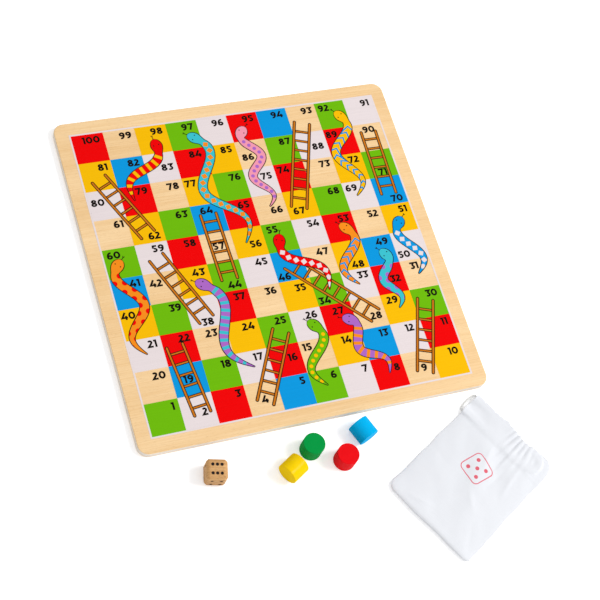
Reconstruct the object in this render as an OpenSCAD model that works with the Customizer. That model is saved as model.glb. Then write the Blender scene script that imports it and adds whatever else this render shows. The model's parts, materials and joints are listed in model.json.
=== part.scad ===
// Snakes and ladders board of printed plywood, with its die, four counters and drawstring bag.
// The origin is the centre of the board's underside. +X runs from square 1 to square 10, +Y from
// square 1 to square 100 and +Z out of the printed face. The loose pieces lie in front, at -Y.

/* [Board] */
// Width and depth of the square board
board_w = 295; // [286:1:330]
// Radius of the board's corners, seen from above
board_corner_r = 9; // [6:0.5:30]
// Thickness of one of the five plies
ply_t = 1.3; // [0.9:0.05:1.5]
// Radius of the sanded rim, above and below
rim_r = 0.9; // [0.6:0.1:2.2]

/* [Print] */
// Side of one square
cell = 26.9; // [24:0.1:27.8]
// Width of the white line around the squares
key_line_w = 1.4; // [0.8:0.1:4]
// Thickness of a film of ink
ink_t = 0.1; // [0.05:0.01:0.2]
// Bare gap where two squares meet
ink_gap = 0.04; // [0.02:0.01:0.1]
// Width of the black line around snakes and ladders
outline_w = 0.7; // [0.4:0.05:1]

/* [Snakes] */
// Width of a snake's body inside its black line
snake_w = 7; // [5:0.1:8]
// Width of a snake's head inside its black line
head_w = 9.6; // [8.5:0.1:11]
// Length of a snake's head, from snout to neck
head_l = 14; // [11:0.5:17]
// Distance from one marking to the next along a snake
mark_pitch = 6.6; // [5.5:0.1:9]
// Length of a forked tongue
tongue_l = 4.6; // [3:0.1:6]
// Thickness of a forked tongue
tongue_w = 0.6; // [0.4:0.05:0.9]
// Diameter of an eye
eye_d = 1.1; // [0.7:0.1:1.6]

/* [Ladders] */
// Distance between the middles of the two rails
rail_spacing = 13.4; // [10:0.1:16]
// Width of a rail inside its black lines
rail_w = 1.5; // [1:0.1:2.4]
// Width of a rung inside its black lines
rung_w = 1.2; // [0.8:0.1:2]
// Distance from one rung to the next
rung_pitch = 9.4; // [7:0.1:12]

/* [Die] */
// Side of the die
die_w = 17; // [14:0.5:20]
// Radius of the die's edges
die_round = 3.8; // [2:0.1:4.4]
// Diameter of a pip
pip_d = 2.6; // [1.8:0.1:2.8]
// Distance between neighbouring pips
pip_pitch = 3.5; // [3.1:0.1:3.9]
// Depth of a drilled pip
pip_depth = 0.5; // [0.3:0.05:1]
// Thickness of the paint in a pip
pip_paint_t = 0.15; // [0.1:0.01:0.25]

/* [Counters] */
// Diameter of a counter
counter_d = 17.5; // [14:0.5:20]
// Height of a counter
counter_h = 15.5; // [12:0.5:20]
// Radius of a counter's eased edges
counter_edge_r = 0.6; // [0.3:0.1:1.5]

/* [Bag] */
// Width of the bag laid flat
bag_w = 85; // [75:1:100]
// Length of the bag, from its bottom seam to its mouth
bag_l = 115; // [95:1:130]
// Height of the lower cloth as it lies
bag_back_h = 0.8; // [0.6:0.1:1.2]
// Height of the upper cloth at its side seams
bag_seam_h = 0.8; // [0.6:0.1:1.2]
// Height by which the upper cloth stands up in the middle
bag_crown_h = 2.6; // [1:0.1:5]
// Radius of the bag's bottom corners
bag_corner_r = 3; // [1:0.5:8]
// Width of the hem that the drawstring runs in
hem_w = 22; // [16:1:28]
// Thickness of the hem's cloth
hem_cloth_t = 0.45; // [0.3:0.05:0.6]
// Diameter of the drawstring
cord_d = 1.8; // [1.2:0.1:2.4]
// Room between the drawstring and the hem's cloth
cord_clear = 0.3; // [0.2:0.05:0.5]
// How far the drawstring's loop stands out beside the bag
loop_out = 3.5; // [2.5:0.5:6]

/* [Layout] */
// Die: place along the board's front edge
die_x = -95; // [-120:1:-70]
// Die: distance of its middle from the front edge
die_out = 25; // [20:1:40]
// Die: turn about its vertical axis
die_turn = -14; // [-45:1:45]
// Green counter: place along the front edge
green_x = -15; // [-17:1:-13]
// Green counter: distance from the front edge
green_out = 21; // [18:1:23]
// Yellow counter: place along the front edge
yellow_x = -35; // [-50:1:-34]
// Yellow counter: distance from the front edge
yellow_out = 35; // [33:1:45]
// Yellow counter: direction of its axis
yellow_turn = 30; // [0:1:40]
// Red counter: place along the front edge
red_x = 9; // [7:1:12]
// Red counter: distance from the front edge
red_out = 35; // [33:1:45]
// Blue counter: place along the front edge
blue_x = 29; // [27:1:40]
// Blue counter: distance from the front edge
blue_out = 17; // [15:1:20]
// Blue counter: direction of its axis
blue_turn = 112; // [80:1:140]
// Bag: place of its leftmost corner along the front edge
bag_left_x = 36; // [34:1:60]
// Bag: gap between the front edge and the nearest part of the bag
bag_gap = 2.5; // [2:0.5:12]
// Bag: turn of its length away from the front edge
bag_turn = 30; // [20:1:35]

/* [Hidden] */

$fn = 64;
// How far a cut runs past what it cuts
overrun = 1;
plies = 5;
columns = 10;
board_t = plies * ply_t;
print_z = board_t;
front_y = -board_w / 2;

// The five colours that the squares run through, row by row
colour_run = ["red", "natural", "yellow", "green", "white"];
first_shift_steps = 3;
row_shift_steps = 3;
// Squares that depart from the run: [number of the square, colour]
odd_squares = [
    [5, "blue"], [13, "blue"], [19, "blue"], [41, "blue"], [46, "blue"], [49, "blue"],
    [64, "blue"], [70, "blue"], [82, "blue"], [94, "blue"],
    [85, "yellow"], [86, "natural"], [93, "natural"]
];

// Ladders: [foot square, share of a cell to the right, up, top square, share right, up]
ladder_shares = [
    [2, 0.1, -0.1, 22, -0.15, 0.1],
    [4, 0, -0.15, 25, 0.1, -0.05],
    [9, 0.1, -0.2, 30, -0.1, 0.1],
    [28, 0.15, -0.1, 46, 0, 0.1],
    [38, 0, -0.25, 59, 0.05, 0],
    [44, 0.05, -0.1, 64, 0, 0.15],
    [62, 0, -0.2, 81, 0, -0.1],
    [67, -0.1, -0.1, 93, -0.1, -0.15],
    [70, -0.05, -0.1, 90, 0, 0.2]
];

// Snakes: [head square, share right, up, tail square, share right, up, bends, swing as a share of
// a cell, motif, colour of the body, colour of the markings]
snake_shares = [
    [98, 0, 0, 79, -0.1, 0, 2, 0.3, "bands", "red", "yellow"],
    [97, 0.1, 0, 56, -0.1, 0, 3, 0.42, "diamonds", "turquoise", "orange"],
    [95, 0, 0, 66, 0, 0.1, 4, -0.24, "spots", "pink", "purple"],
    [92, 0.1, 0.1, 69, -0.1, 0, 3, 0.32, "chevrons", "yellow", "blue"],
    [60, 0, 0.1, 21, 0, 0, 3, -0.31, "saddles", "orange", "red"],
    [43, 0, 0, 17, 0, 0, 2, 0.42, "bands", "purple", "turquoise"],
    [55, 0, 0.1, 34, 0, 0, 2, -0.35, "diamonds", "red", "white"],
    [53, 0, 0.1, 33, 0, 0, 2, 0.35, "chevrons", "orange", "blue"],
    [51, 0.1, 0, 31, 0, 0, 2, -0.31, "diamonds", "blue", "white"],
    [49, 0, 0, 29, 0, 0, 3, 0.2, "saddles", "turquoise", "purple"],
    [26, 0, 0.1, 6, 0, 0, 2, 0.35, "spots", "green", "yellow"],
    [27, 0.1, 0, 8, 0, 0, 3, 0.24, "bands", "purple", "orange"]
];

// Width of a snake's head along its length, both as shares of the head
head_shares = [
    [0, 0.2], [0.05, 0.48], [0.14, 0.72], [0.28, 0.92], [0.42, 1], [0.56, 0.97],
    [0.72, 0.83], [0.86, 0.66], [1, 0.58]
];
snake_steps = 46;
crowding_share = 1.25;
neck_blend_share = 0.35;
tail_from_share = 0.55;
tail_curve_share = 1.6;
tail_tip_w = 0.3;
eye_along_share = 0.4;
eye_apart_share = 0.5;
fork_share = 0.4;
fork_angle = 24;

// Sizes of the markings, as shares of the snake's width or of the distance between markings
mark_end_share = 0.94;
band_share = 0.42;
diamond_share = 0.82;
spot_share = 0.46;
spot_pitch_share = 0.8;
chevron_share = 0.3;
saddle_share = 0.68;
saddle_pitch_share = 0.72;

// Die: each face and the turn that brings it up; opposite faces add up to seven
die_faces = [
    [6, [0, 0, 0]], [1, [180, 0, 0]], [4, [90, 0, 0]],
    [3, [-90, 0, 0]], [5, [0, 90, 0]], [2, [0, -90, 0]]
];

// Places of one to six pips, in steps of the pip pitch
pip_places = [
    [[0, 0]],
    [[-1, -1], [1, 1]],
    [[-1, -1], [0, 0], [1, 1]],
    [[-1, -1], [-1, 1], [1, -1], [1, 1]],
    [[-1, -1], [-1, 1], [0, 0], [1, -1], [1, 1]],
    [[-1, -1], [0, -1], [1, -1], [-1, 1], [0, 1], [1, 1]]
];

// Bag: its own X runs from the bottom seam to the mouth, and Y across
bag_reach = bag_l / 2 * sin(bag_turn) + (bag_w / 2 + loop_out) * cos(bag_turn);
bag_x = bag_left_x + bag_l / 2 * cos(bag_turn) + bag_w / 2 * sin(bag_turn);
bag_y = front_y - bag_gap - bag_reach;
bag_top = bag_back_h + bag_seam_h + bag_crown_h;
crown_steps = 24;
hem_start = bag_l - hem_w;
slot_h = cord_d + 2 * cord_clear;
hem_layer_h = slot_h + 2 * hem_cloth_t;
// How far the two folds of the hem lie against each other
fold_seam = 2 * hem_cloth_t;
cord_spread = hem_w - 2 * hem_cloth_t - slot_h;
low_cord_z = hem_layer_h / 2;
high_cord_z = low_cord_z + hem_layer_h;
cord_x = hem_start + hem_w / 2;
far_turn_y = hem_cloth_t + cord_clear + cord_d / 2 + cord_spread / 2 - bag_w / 2;
cord_sides = 8;
turn_steps = 16;

// Places on the print

function row_of(n) = floor((n - 1) / columns);

function column_of(n) =
    row_of(n) % 2 == 0 ? (n - 1) % columns : columns - 1 - (n - 1) % columns;

// Middle of square n, moved by shares of a cell
function place(n, right, up) =
    cell * [column_of(n) + right - (columns - 1) / 2, row_of(n) + up - (columns - 1) / 2];

function square_colour(n) =
    let (odd = [for (o = odd_squares) if (o[0] == n) o[1]])
    len(odd) > 0
        ? odd[0]
        : let (steps = column_of(n) + row_shift_steps * row_of(n) + first_shift_steps)
          colour_run[steps % len(colour_run)];

// Snakes: the spine swings from side to side of the line from head to tail

function head_at(s) = place(s[0], s[1], s[2]);
function tail_at(s) = place(s[3], s[4], s[5]);
function bends(s) = s[6];
function swing(s) = s[7] * cell;
function motif(s) = s[8];
function body_colour(s) = s[9];
function mark_colour(s) = s[10];

function spine_point(s, t) =
    let (a = head_at(s), line = tail_at(s) - a, side = [-line[1], line[0]] / norm(line))
    a + line * t + side * swing(s) * sin(180 * bends(s) * t);

// The steps are shorter at the head, where the outline turns fastest
function spine(s) =
    [for (i = [0 : snake_steps]) spine_point(s, pow(i / snake_steps, crowding_share))];

// Distance from the snout to each point of the spine
function run_along(points) =
    [for (i = 0, d = 0; i < len(points);
          i = i + 1, d = d + (i < len(points) ? norm(points[i] - points[i - 1]) : 0)) d];

function half_width(d, length) =
    d < head_l
        ? lookup(d / head_l, head_shares) * head_w / 2
        : let (neck = lookup(1, head_shares) * head_w / 2,
               swell = min(1, (d - head_l) / neck_blend_share / head_l),
               body = neck + (snake_w / 2 - neck) * swell,
               taper = max(0, (d / length - tail_from_share) / (1 - tail_from_share)))
          body * (1 - pow(taper, tail_curve_share)) + tail_tip_w / 2;

function normal_at(points, i) =
    let (d = points[min(i + 1, len(points) - 1)] - points[max(i - 1, 0)])
    [-d[1], d[0]] / norm(d);

// Outline of a snake, with its flanks moved out by grow
function snake_outline(s, grow) =
    let (p = spine(s),
         d = run_along(p),
         last = len(p) - 1,
         w = [for (i = [0 : last]) half_width(d[i], d[last]) + grow],
         snout = p[0] - (p[1] - p[0]) / norm(p[1] - p[0]) * grow,
         tip = p[last] + (p[last] - p[last - 1]) / norm(p[last] - p[last - 1]) * grow)
    concat(
        [snout],
        [for (i = [0 : last]) p[i] + normal_at(p, i) * w[i]],
        grow > 0 ? [tip] : [],
        [for (i = [last : -1 : 0]) p[i] - normal_at(p, i) * w[i]]);

module snake_shape(s) {
    polygon(snake_outline(s, 0));
}

module snake_with_line(s) {
    polygon(snake_outline(s, outline_w));
}

// Puts its children on the spine, each pitch apart, heading towards the tail
module along_snake(s, pitch) {
    p = spine(s);
    d = run_along(p);
    xs = [for (i = [0 : len(p) - 1]) [d[i], p[i][0]]];
    ys = [for (i = [0 : len(p) - 1]) [d[i], p[i][1]]];
    start = head_l + pitch / 2;
    end = d[len(p) - 1] * mark_end_share;
    for (k = [0 : floor((end - start) / pitch)]) {
        at = start + k * pitch;
        ahead = at + pitch / 4;
        a = [lookup(at, xs), lookup(at, ys)];
        b = [lookup(ahead, xs), lookup(ahead, ys)];
        $side = k % 2 == 0 ? 1 : -1;
        translate(a) rotate(atan2(b[1] - a[1], b[0] - a[0])) children();
    }
}

module diamond() {
    half_l = mark_pitch * diamond_share / 2;
    half_w = snake_w * diamond_share / 2;
    polygon([[half_l, 0], [0, half_w], [-half_l, 0], [0, -half_w]]);
}

module chevron() {
    arm = snake_w;
    thick = mark_pitch * chevron_share;
    polygon([[0, 0], [arm, arm], [arm + thick, arm], [thick, 0], [arm + thick, -arm], [arm, -arm]]);
}

// The markings of one snake, before they are trimmed to its body
module motif_shapes(s) {
    if (motif(s) == "bands")
        along_snake(s, mark_pitch) square([mark_pitch * band_share, 2 * snake_w], center = true);
    if (motif(s) == "diamonds")
        along_snake(s, mark_pitch) diamond();
    if (motif(s) == "spots")
        along_snake(s, mark_pitch * spot_pitch_share) circle(snake_w * spot_share / 2);
    if (motif(s) == "chevrons")
        along_snake(s, mark_pitch) chevron();
    if (motif(s) == "saddles")
        along_snake(s, mark_pitch * saddle_pitch_share)
            translate([0, $side * snake_w / 2]) circle(snake_w * saddle_share / 2);
}

module eyes(s) {
    p = spine(s);
    along = (p[1] - p[0]) / norm(p[1] - p[0]);
    for (side = [-1, 1])
        translate(p[0] + along * head_l * eye_along_share
                  + [-along[1], along[0]] * side * head_w * eye_apart_share / 2)
            circle(eye_d / 2);
}

module tongue(s) {
    p = spine(s);
    away = p[0] - p[1];
    fork = tongue_l * fork_share;
    translate(p[0]) rotate(atan2(away[1], away[0])) {
        translate([-outline_w, -tongue_w / 2]) square([outline_w + tongue_l - fork, tongue_w]);
        for (side = [-1, 1])
            translate([tongue_l - fork - tongue_w / 2, 0])
                rotate(side * fork_angle) translate([0, -tongue_w / 2]) square([fork, tongue_w]);
    }
}

module snake_body(s) {
    difference() {
        snake_shape(s);
        motif_shapes(s);
        eyes(s);
    }
}

module snake_marks(s) {
    intersection() {
        snake_shape(s);
        motif_shapes(s);
    }
}

module snake_lines(s) {
    difference() {
        union() {
            snake_with_line(s);
            tongue(s);
        }
        snake_shape(s);
    }
    eyes(s);
}

// Ladders

function foot_at(l) = place(l[0], l[1], l[2]);
function top_at(l) = place(l[3], l[4], l[5]);

// A ladder's two rails, lying along +X from its foot, with round ends
module rails(length, grow) {
    for (side = [-1, 1])
        translate([0, side * rail_spacing / 2]) {
            translate([0, -rail_w / 2 - grow]) square([length, rail_w + 2 * grow]);
            for (x = [0, length])
                translate([x, 0]) circle(rail_w / 2 + grow);
        }
}

module rungs(length, grow) {
    count = floor((length - rung_pitch) / rung_pitch);
    first = (length - count * rung_pitch) / 2;
    for (k = [0 : count])
        translate([first + k * rung_pitch - rung_w / 2 - grow, -rail_spacing / 2])
            square([rung_w + 2 * grow, rail_spacing]);
}

module on_ladder(l) {
    run = top_at(l) - foot_at(l);
    translate(foot_at(l)) rotate(atan2(run[1], run[0])) children();
}

function ladder_length(l) = norm(top_at(l) - foot_at(l));

module ladder_with_line(l) {
    on_ladder(l) {
        rails(ladder_length(l), outline_w);
        rungs(ladder_length(l), outline_w);
    }
}

module ladder_wood(l) {
    on_ladder(l) {
        rails(ladder_length(l), 0);
        difference() {
            rungs(ladder_length(l), 0);
            rails(ladder_length(l), outline_w);
        }
    }
}

// Films of ink

module all_snakes() {
    for (s = snake_shares) {
        snake_with_line(s);
        tongue(s);
    }
}

module all_ladders() {
    for (l = ladder_shares) ladder_with_line(l);
}

module squares(colour) {
    for (n = [1 : columns * columns])
        if (square_colour(n) == colour)
            translate(place(n, 0, 0)) square(cell - ink_gap, center = true);
}

module key_line() {
    difference() {
        square(columns * cell + 2 * key_line_w, center = true);
        square(columns * cell, center = true);
    }
}

module film() {
    translate([0, 0, print_z]) linear_extrude(ink_t) children();
}

// Everything printed in one colour: its squares, less what is printed on them, and its snakes
module ink(colour) {
    film() {
        difference() {
            squares(colour);
            all_snakes();
            all_ladders();
        }
        for (s = snake_shares) {
            if (body_colour(s) == colour) snake_body(s);
            if (mark_colour(s) == colour) snake_marks(s);
        }
    }
}

module white_ink() {
    color("#e8dedf") {
        ink("white");
        film() difference() {
            key_line();
            all_snakes();
        }
    }
}

module red_ink() {
    color("#f10204") ink("red");
}

module yellow_ink() {
    color("#f6bc05") ink("yellow");
}

module green_ink() {
    color("#70b90f") ink("green");
}

module blue_ink() {
    color("#0a98de") ink("blue");
}

module orange_ink() {
    color("#f08a1c") ink("orange");
}

module purple_ink() {
    color("#a060c8") ink("purple");
}

module pink_ink() {
    color("#f29ab0") ink("pink");
}

module turquoise_ink() {
    color("#35c0d0") ink("turquoise");
}

module brown_ink() {
    color("#c8741c") film() difference() {
        for (l = ladder_shares) ladder_wood(l);
        all_snakes();
    }
}

module black_ink() {
    color("#201814") film() {
        difference() {
            all_ladders();
            for (l = ladder_shares) ladder_wood(l);
            all_snakes();
        }
        for (s = snake_shares) snake_lines(s);
    }
}

// Plies of the board

// Cross-section of the board's rim: x is the distance from a centre, y the height
module rim_section(half_w) {
    translate([0, rim_r]) square([half_w, board_t - 2 * rim_r]);
    square([half_w - rim_r, board_t]);
    for (y = [rim_r, board_t - rim_r])
        translate([half_w - rim_r, y]) circle(rim_r);
}

module ply_section(k, half_w) {
    intersection() {
        rim_section(half_w);
        translate([0, k * ply_t]) square([half_w + overrun, ply_t]);
    }
}

module ply(k) {
    straight = board_w - 2 * board_corner_r;
    for (turn = [0 : 90 : 270])
        rotate(turn) {
            translate([straight / 2, straight / 2]) rotate_extrude() ply_section(k, board_corner_r);
            rotate([90, 0, 0])
                linear_extrude(straight, center = true) ply_section(k, board_w / 2);
        }
}

module back_veneer() {
    color("#ecd0a4") ply(0);
}

module lower_crossband() {
    color("#d9b98c") ply(1);
}

module core_ply() {
    color("#e6c89a") ply(2);
}

module upper_crossband() {
    color("#d9b98c") ply(3);
}

module face_veneer() {
    color("#f3d3a1") ply(4);
}

// Die

// Puts its children at every pip, with +Z out of the face and 0 on the face
module at_pips() {
    for (face = die_faces)
        rotate(face[1])
            for (p = pip_places[face[0] - 1])
                translate([p[0] * pip_pitch, p[1] * pip_pitch, die_w / 2]) children();
}

module place_die() {
    translate([die_x, front_y - die_out, die_w / 2]) rotate(die_turn) children();
}

// A square bar with round edges, running along Z through the die
module die_bar() {
    flat = die_w - 2 * die_round;
    linear_extrude(die_w, center = true) {
        square([die_w, flat], center = true);
        square([flat, die_w], center = true);
        for (x = [-flat / 2, flat / 2], y = [-flat / 2, flat / 2])
            translate([x, y]) circle(die_round);
    }
}

module die_cube() {
    corner = sqrt(3) * (die_w / 2 - die_round) + die_round;
    color("#c89a62") place_die() difference() {
        intersection() {
            die_bar();
            rotate([90, 0, 0]) die_bar();
            rotate([0, 90, 0]) die_bar();
            sphere(corner);
        }
        at_pips() translate([0, 0, -pip_depth]) cylinder(d = pip_d, h = pip_depth + overrun);
    }
}

module die_pips() {
    color("#1e1210") place_die()
        at_pips() translate([0, 0, -pip_depth]) cylinder(d = pip_d, h = pip_paint_t);
}

// Counters

module counter() {
    r = counter_d / 2;
    rotate_extrude() {
        square([r - counter_edge_r, counter_h]);
        translate([0, counter_edge_r]) square([r, counter_h - 2 * counter_edge_r]);
        for (y = [counter_edge_r, counter_h - counter_edge_r])
            translate([r - counter_edge_r, y]) circle(counter_edge_r);
    }
}

module standing_counter(x, out) {
    translate([x, front_y - out, 0]) counter();
}

// A counter on its side, its axis turned about the vertical
module lying_counter(x, out, turn) {
    translate([x, front_y - out, counter_d / 2])
        rotate([0, 90, turn]) translate([0, 0, -counter_h / 2]) counter();
}

module counter_green() {
    color("#00963c") standing_counter(green_x, green_out);
}

module counter_red() {
    color("#f00a14") standing_counter(red_x, red_out);
}

module counter_yellow() {
    color("#fad200") lying_counter(yellow_x, yellow_out, yellow_turn);
}

module counter_blue() {
    color("#00a5e6") lying_counter(blue_x, blue_out, blue_turn);
}

// Bag: its own X runs from the bottom seam to the mouth, and Y across

module place_bag() {
    translate([bag_x, bag_y, 0]) rotate(bag_turn) translate([-bag_l / 2, 0, 0]) children();
}

// The flat outline of the cloth below the hem
module pouch_outline() {
    translate([0, bag_corner_r - bag_w / 2]) square([hem_start, bag_w - 2 * bag_corner_r]);
    translate([bag_corner_r, -bag_w / 2]) square([hem_start - bag_corner_r, bag_w]);
    for (side = [-1, 1])
        translate([bag_corner_r, side * (bag_w / 2 - bag_corner_r)]) circle(bag_corner_r);
}

module bag_back() {
    color("#e4e6ea") place_bag() linear_extrude(bag_back_h) pouch_outline();
}

// Height of the upper cloth's arch at a place across the bag
function arch(y) = bag_seam_h + bag_crown_h * (1 - pow(2 * y / bag_w, 2));

// The upper cloth is arched across the bag, from the seam height at its sides
module bag_front() {
    ys = [for (i = [0 : crown_steps]) bag_w * i / crown_steps - bag_w / 2];
    section = concat([[-bag_w / 2, 0]], [for (y = ys) [y, arch(y)]], [[bag_w / 2, 0]]);
    color("#f2f3f5") place_bag() translate([0, 0, bag_back_h]) intersection() {
        linear_extrude(bag_top) pouch_outline();
        rotate([90, 0, 90]) linear_extrude(hem_start) polygon(section);
    }
}

// Section of the hem across the cord: two flat channels of cloth, one on the other, with round
// folds at the mouth. A channel's inside is the same shape, less the cloth.
module channel_section(z, inset) {
    h = hem_layer_h - 2 * inset;
    translate([inset, z + inset]) square([hem_w - inset - hem_layer_h / 2, h]);
    translate([hem_w - hem_layer_h / 2, z + hem_layer_h / 2]) circle(h / 2);
}

// Lays a section of the hem across the bag, from one side to the other
module across_bag(from_y, to_y) {
    translate([hem_start, to_y, 0]) rotate([90, 0, 0]) linear_extrude(to_y - from_y) children();
}

// The channels are open at the near side, and meet in the fold of the far side
module bag_hem() {
    inner_y = hem_cloth_t - bag_w / 2;
    turn_room = cord_spread / 2 + cord_d + cord_clear;
    color("#eceef1") place_bag() difference() {
        across_bag(-bag_w / 2, bag_w / 2) {
            channel_section(0, 0);
            channel_section(hem_layer_h, 0);
            translate([0, low_cord_z])
                square([hem_w - hem_layer_h / 2 + fold_seam, hem_layer_h]);
        }
        across_bag(inner_y, bag_w / 2 + overrun) {
            channel_section(0, hem_cloth_t);
            channel_section(hem_layer_h, hem_cloth_t);
        }
        across_bag(inner_y, inner_y + turn_room)
            translate([hem_cloth_t, low_cord_z])
                square([hem_w - hem_cloth_t - hem_layer_h / 2, hem_layer_h]);
    }
}

// The drawstring is one closed loop: two runs in the hem, a turn inside its far side and a loop
// that stands out beside the bag. A turn goes half round while it climbs from one run to the other.
function half_turn(centre_y, reach, from_z, to_z, way) =
    [for (i = [0 : turn_steps])
        let (share = i / turn_steps, a = 180 * share)
        [cord_x + way * cord_spread / 2 * cos(a),
         centre_y + reach * sin(a),
         from_z + (to_z - from_z) * share]];

function drawstring_route() = concat(
    half_turn(far_turn_y, -cord_spread / 2, high_cord_z, low_cord_z, 1),
    half_turn(bag_w / 2, loop_out, low_cord_z, high_cord_z, -1));

// Points of a closed tube: one ring of sides points round each point of the route
function tube_points(route, r, sides) =
    [for (i = [0 : len(route) - 1])
        let (n = len(route),
             d = route[(i + 1) % n] - route[(i + n - 1) % n],
             along = d / norm(d),
             level = cross(along, [0, 0, 1]),
             out = level / norm(level),
             up = cross(out, along))
        for (k = [0 : sides - 1])
            route[i] + r * (cos(360 * k / sides) * out + sin(360 * k / sides) * up)];

function tube_faces(rings, sides) =
    [for (i = [0 : rings - 1], k = [0 : sides - 1])
        let (a = i * sides, b = (i + 1) % rings * sides, next = (k + 1) % sides)
        for (face = [[a + k, b + k, b + next], [a + k, b + next, a + next]]) face];

module bag_drawstring() {
    route = drawstring_route();
    color("#f6f6f4") place_bag()
        polyhedron(tube_points(route, cord_d / 2, cord_sides), tube_faces(len(route), cord_sides));
}

back_veneer();
lower_crossband();
core_ply();
upper_crossband();
face_veneer();
white_ink();
red_ink();
yellow_ink();
green_ink();
blue_ink();
orange_ink();
purple_ink();
pink_ink();
turquoise_ink();
brown_ink();
black_ink();
die_cube();
die_pips();
counter_green();
counter_red();
counter_yellow();
counter_blue();
bag_back();
bag_front();
bag_hem();
bag_drawstring();
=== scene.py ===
"""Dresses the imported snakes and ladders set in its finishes, makes its bag and lights it."""

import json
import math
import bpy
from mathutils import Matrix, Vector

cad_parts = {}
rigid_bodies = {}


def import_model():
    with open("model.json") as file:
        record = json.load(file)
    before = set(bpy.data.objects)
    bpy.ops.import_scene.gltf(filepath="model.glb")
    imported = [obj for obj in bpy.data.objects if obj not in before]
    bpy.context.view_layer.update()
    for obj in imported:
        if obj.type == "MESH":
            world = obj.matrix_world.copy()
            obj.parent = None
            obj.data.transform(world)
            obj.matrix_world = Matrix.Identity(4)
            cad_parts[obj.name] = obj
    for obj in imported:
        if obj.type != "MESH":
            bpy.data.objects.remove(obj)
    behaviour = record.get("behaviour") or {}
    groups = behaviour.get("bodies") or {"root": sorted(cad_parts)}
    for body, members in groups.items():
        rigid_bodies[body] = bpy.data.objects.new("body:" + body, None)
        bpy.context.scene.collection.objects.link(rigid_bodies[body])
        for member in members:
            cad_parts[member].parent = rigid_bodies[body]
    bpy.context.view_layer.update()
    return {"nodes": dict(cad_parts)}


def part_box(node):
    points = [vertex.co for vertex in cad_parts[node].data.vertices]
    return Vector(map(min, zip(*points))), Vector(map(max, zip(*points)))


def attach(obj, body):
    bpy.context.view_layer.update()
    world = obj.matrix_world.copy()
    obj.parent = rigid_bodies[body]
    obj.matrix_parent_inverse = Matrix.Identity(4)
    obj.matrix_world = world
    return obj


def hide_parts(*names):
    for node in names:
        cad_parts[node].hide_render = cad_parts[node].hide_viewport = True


bl_info = {
    "name": "Snakes and ladders set",
    "version": (1, 0, 0),
    "blender": (4, 5, 0),
    "location": "View3D > Sidebar > Board game",
    "description": "Finishes a plywood board, its die and counters, and makes its cotton bag",
    "category": "Object",
}

import bmesh
import bpy
import numpy
from bpy.props import FloatProperty, FloatVectorProperty, IntProperty, PointerProperty
from mathutils import Matrix, Vector, noise
from mathutils.bvhtree import BVHTree
from mathutils.geometry import delaunay_2d_cdt

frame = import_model()

INKS = (
    "white", "red", "yellow", "green", "blue", "orange",
    "purple", "pink", "turquoise", "brown", "black",
)
# Whether each counter lies on its side
COUNTERS = {"green": False, "red": False, "yellow": True, "blue": True}

# Distance of a strand's middle from the drawstring's, in strand radii
STRAND_OUT = 1.02

# The bag's creases: place along and across it, angle in degrees, length, height and width
CREASES = (
    (0.040, -0.012, 52, 0.030, 0.0005, 0.0024),
    (0.010, 0.018, -70, 0.034, 0.0006, 0.0020),
    (0.064, 0.010, 20, 0.052, -0.0004, 0.0036),
    (0.076, -0.024, 10, 0.048, 0.0007, 0.0026),
    (0.071, -0.015, -6, 0.040, -0.0006, 0.0022),
    (0.079, 0.002, 16, 0.036, 0.0006, 0.0022),
    (0.082, -0.008, 4, 0.030, -0.0005, 0.0018),
    (0.018, -0.030, 30, 0.030, -0.0004, 0.0024),
    (0.090, 0.026, -34, 0.028, 0.0005, 0.0022),
    (0.052, 0.032, 74, 0.026, -0.0003, 0.0026),
    (0.028, 0.004, -42, 0.040, 0.0004, 0.0018),
    (0.098, -0.032, 64, 0.016, 0.0007, 0.0022),
)


# Sizes and colours


def srgb(red, green, blue):
    """A colour as a screen shows it, from 0 to 255, as the linear values that Blender works in."""
    shares = (value / 255 for value in (red, green, blue))
    return tuple(
        share / 12.92 if share <= 0.04045 else ((share + 0.055) / 1.055) ** 2.4
        for share in shares
    )


def metres(name, description, default):
    return FloatProperty(
        name=name, description=description, default=default, min=0.0, unit="LENGTH", precision=5
    )


def fraction(name, description, default):
    return FloatProperty(
        name=name, description=description, default=default, min=0.0, max=1.0, subtype="FACTOR"
    )


def degrees(name, description, default):
    return FloatProperty(
        name=name, description=description, default=math.radians(default), unit="ROTATION"
    )


def tint(name, description, *screen):
    return FloatVectorProperty(
        name=name, description=description, default=srgb(*screen), subtype="COLOR",
        size=3, min=0.0, max=1.0,
    )


class WoodSettings(bpy.types.PropertyGroup):
    light: tint("Light birch", "Pale streaks of the veneer", 249, 216, 168)
    dark: tint("Dark birch", "Darker streaks of the veneer", 232, 190, 134)
    # The two rim colours are the plies' own pale edges, made paler still as painted light: they
    # stand in for the light the floor bounces onto the board's edges
    rim_light: tint("Light rim", "Sanded edge of a long-grained ply", 250, 243, 234)
    rim_dark: tint("Dark rim", "Sanded edge of a cross-grained ply", 234, 222, 208)
    streak: metres("Streak width", "Width of a fine streak of the grain", 0.0008)
    streak_run: metres("Streak length", "Length of a fine streak of the grain", 0.045)
    # Height of the band along the face's rounded edge that is painted pale: painted light for the
    # floor's light reflected there
    sanding: metres("Sanded edge", "Height over which the rim turns pale", 0.0003)


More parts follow.
